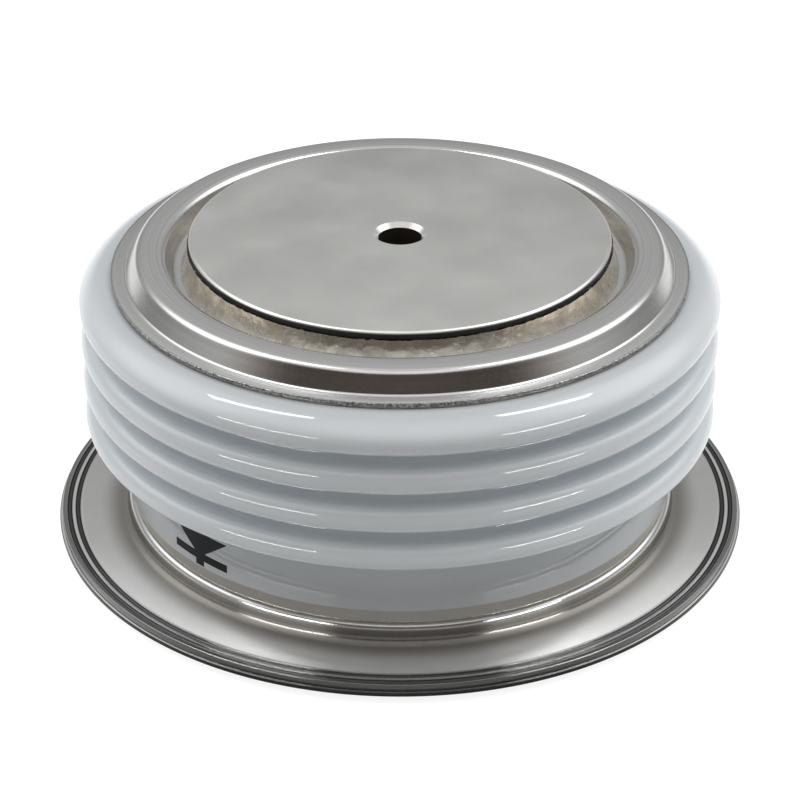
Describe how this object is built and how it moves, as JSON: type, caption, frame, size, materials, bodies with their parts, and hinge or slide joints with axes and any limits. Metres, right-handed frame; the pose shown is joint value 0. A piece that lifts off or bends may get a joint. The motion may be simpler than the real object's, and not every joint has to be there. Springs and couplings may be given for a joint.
{
  "type": "press-pack rectifier diode",
  "caption": "Disc-shaped press-pack rectifier diode: ribbed white ceramic ring between two flat nickel-plated pole faces, with a wide thin double flange near its foot.",
  "frame": {"origin": "centre of the cathode contact face, which the diode stands on", "axes": "+Z along the diode's axis from cathode to anode; the body is a figure of revolution, so +X and +Y are free"},
  "size_m": [0.0584, 0.0584, 0.026],
  "materials": {
    "ceramic": "white glaze, bare alumina at the foot",
    "nickel_pole": "satin nickel plate on copper",
    "sheet": "satin nickel-plated sheet",
    "flange_sheet": "soft-bright nickel-plated sheet",
    "braze": "rough nickel-plated braze",
    "silicon": "lapped silicon",
    "molybdenum": "ground molybdenum",
    "silver": "rolled silver foil",
    "silicone_rubber": "matt silicone rubber",
    "white_plastic": "turned white plastic",
    "printing_ink": "black printing ink of the polarity symbol"
  },
  "bodies": {
    "root": {"ceramic_ring": "ceramic", "anode_pole": "nickel_pole", "cathode_pole": "nickel_pole", "anode_diaphragm": "sheet", "anode_braze": "braze", "head_braze": "braze", "upper_weld_flange": "flange_sheet", "lower_weld_flange": "flange_sheet", "foot_braze": "braze", "cathode_braze": "braze", "silicon_wafer": "silicon", "anode_moly_disc": "molybdenum", "cathode_moly_disc": "molybdenum", "silver_foil": "silver", "edge_passivation": "silicone_rubber", "centring_ring": "white_plastic"}
  },
  "joints": []
}
